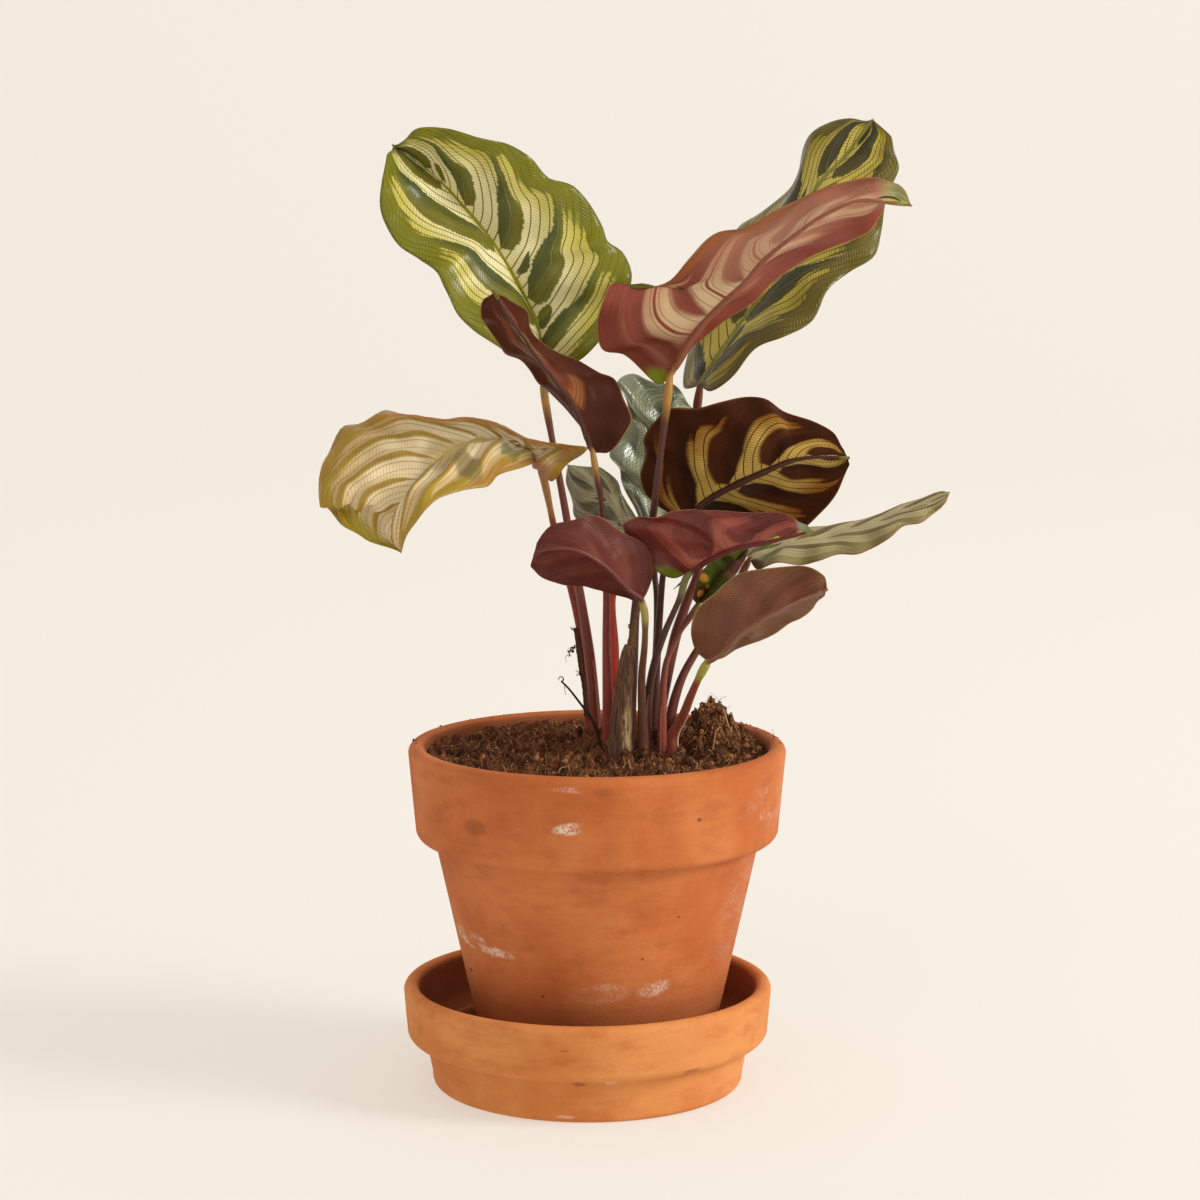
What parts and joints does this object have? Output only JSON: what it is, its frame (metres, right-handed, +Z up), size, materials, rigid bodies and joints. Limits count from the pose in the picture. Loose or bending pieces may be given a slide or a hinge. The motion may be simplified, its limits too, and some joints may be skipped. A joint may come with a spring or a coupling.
{
  "type": "potted calathea",
  "caption": "Potted calathea: patterned leaves with purple undersides on thin upright stalks, in soil in a plain clay flowerpot standing on its saucer.",
  "frame": {"origin": "centre of the saucer's flat underside, on the surface it stands on", "axes": "+Z up, +X to the right and +Y away from the viewer, seen from the side the picture shows"},
  "size_m": [0.2352, 0.1404, 0.3599],
  "materials": {
    "terracotta_pot": "matte",
    "terracotta_saucer": "matte",
    "potting_soil": "matte",
    "calathea_leaf": "satin",
    "dry_sheath": "matte"
  },
  "bodies": {
    "root": {"saucer": "terracotta_saucer", "pot": "terracotta_pot", "soil": "potting_soil", "leaf_back_left": "calathea_leaf", "leaf_curled": "calathea_leaf", "leaf_front_right_tall": "calathea_leaf", "leaf_back_right_tall": "calathea_leaf", "leaf_left_drooping": "calathea_leaf", "leaf_right_broad": "calathea_leaf", "leaf_front_middle": "calathea_leaf", "leaf_front_left_small": "calathea_leaf", "leaf_front_right_low": "calathea_leaf", "leaf_far_right": "calathea_leaf", "leaf_back_middle": "calathea_leaf", "leaf_back_small": "calathea_leaf", "leaf_nibbled": "calathea_leaf", "dry_sheath": "dry_sheath", "dead_stalk": "dry_sheath"}
  },
  "joints": []
}
